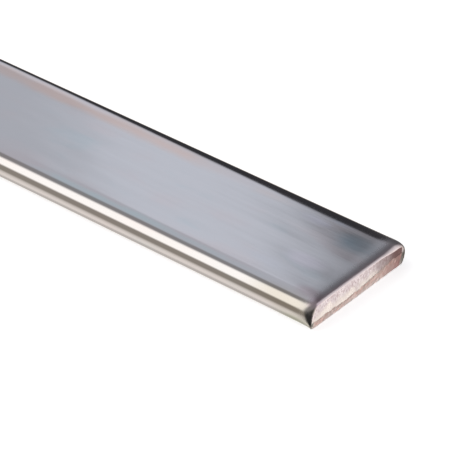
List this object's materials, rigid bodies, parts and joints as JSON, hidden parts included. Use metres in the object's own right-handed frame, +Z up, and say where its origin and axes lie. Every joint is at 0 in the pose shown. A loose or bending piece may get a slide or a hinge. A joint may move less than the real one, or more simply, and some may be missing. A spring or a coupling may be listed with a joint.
{
  "type": "metal flat bar",
  "caption": "Flat metal bar stock with rounded long edges, a brushed plated surface and square sheared ends.",
  "frame": {"origin": "centre of the underside, at mid length and mid width", "axes": "+X along the bar, +Y across its width, +Z up through its thickness"},
  "size_m": [1, 0.025, 0.005],
  "materials": {
    "tin_plate": "bright tin plate over copper, brushed lengthwise; the sheared ends show bare copper"
  },
  "bodies": {
    "root": {"flat_bar": "tin_plate"}
  },
  "joints": []
}
